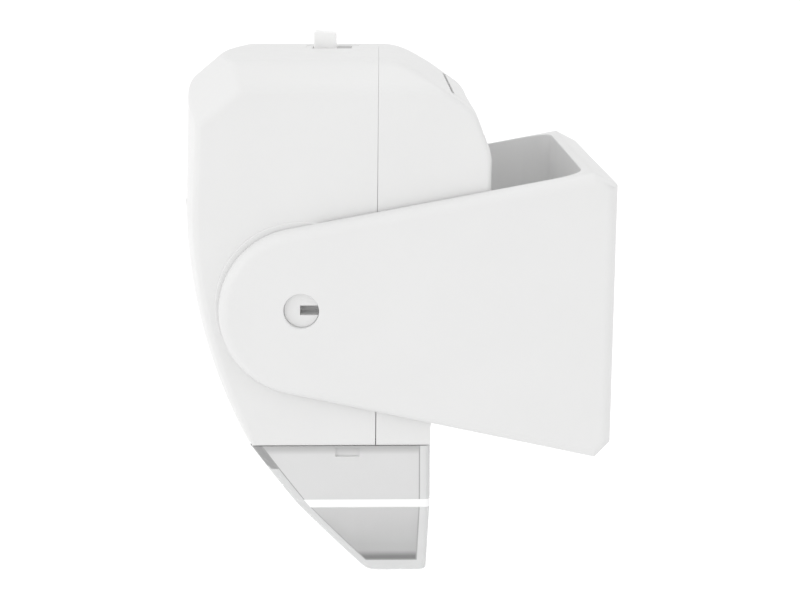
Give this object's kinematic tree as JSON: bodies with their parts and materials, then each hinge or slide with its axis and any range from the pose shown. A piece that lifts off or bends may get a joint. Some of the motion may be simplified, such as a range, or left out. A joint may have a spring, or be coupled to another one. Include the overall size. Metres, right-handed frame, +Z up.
{
  "type": "motion sensor light",
  "caption": "Battery motion-sensor light: a tapered two-shell head with a clear bottom cover, tilting in a U-shaped wall bracket.",
  "frame": {"origin": "on the bracket's wall face, midway between its sides and level with the tilt axis", "axes": "+Y into the wall, -Y the way the light looks, +Z up, +X the light's right side as it looks out of the wall; the tilt axis is along X, 63 mm in front of the wall"},
  "size_m": [0.072, 0.0878, 0.1135],
  "materials": {
    "bracket_white": "moulded white plastic, fine satin texture",
    "shell_white": "moulded white plastic, fine satin texture",
    "knob_white": "smooth white plastic",
    "clear_plastic": "clear moulded plastic, polished",
    "milky_lens": "translucent milky plastic",
    "reflector_white": "glossy white plastic",
    "board_green": "solder-masked circuit board",
    "black_plastic": "moulded black plastic",
    "led_clear": "clear epoxy with a yellow phosphor",
    "steel": "nickel-plated steel",
    "cell_jacket": "plain foil cell jacket",
    "lead_red": "PVC insulation",
    "lead_black": "PVC insulation"
  },
  "bodies": {
    "bracket": {"wall_bracket": "bracket_white"},
    "head": {"front_shell": "shell_white", "rear_shell": "shell_white", "clear_cover": "clear_plastic", "lens_frame": "shell_white", "fresnel_lens": "milky_lens", "sensor_window": "milky_lens", "light_sensor": "milky_lens", "pir_sensor": "steel", "main_pcb": "board_green", "control_chip": "black_plastic", "capacitor": "black_plastic", "slide_switch": "black_plastic", "reflector_tray": "reflector_white", "led_board": "board_green", "led_1": "led_clear", "led_2": "led_clear", "led_3": "led_clear", "led_4": "led_clear", "pivot_pin_left": "shell_white", "pivot_pin_right": "shell_white", "case_screw_1": "steel", "case_screw_2": "steel", "case_screw_3": "steel", "case_screw_4": "steel", "board_screw_1": "steel", "board_screw_2": "steel", "aa_cell_1": "cell_jacket", "aa_cell_2": "cell_jacket", "aa_cell_3": "cell_jacket", "battery_spring_1": "steel", "battery_spring_2": "steel", "battery_spring_3": "steel", "contact_negative": "steel", "contact_link_bottom": "steel", "contact_link_top": "steel", "contact_positive": "steel", "battery_lead_negative": "lead_black", "battery_lead_positive": "lead_red", "led_lead_negative": "lead_black", "led_lead_positive": "lead_red"},
    "knob": {"switch_knob": "knob_white"},
    "door": {"battery_door": "shell_white"}
  },
  "joints": [
    {"name": "head_tilt", "type": "hinge", "parent": "bracket", "child": "head", "pos_m": [0, -0.063, 0], "axis": [1, 0, 0], "range_deg": [-90, 30]},
    {"name": "switch_slide", "type": "slide", "parent": "head", "child": "knob", "axis": [0, 1, 0], "range_m": [0, 0.0025]},
    {"name": "door_hinge", "type": "hinge", "parent": "head", "child": "door", "pos_m": [0, -0.0248, -0.0168], "axis": [-1, 0, 0], "range_deg": [0, 12]}
  ]
}
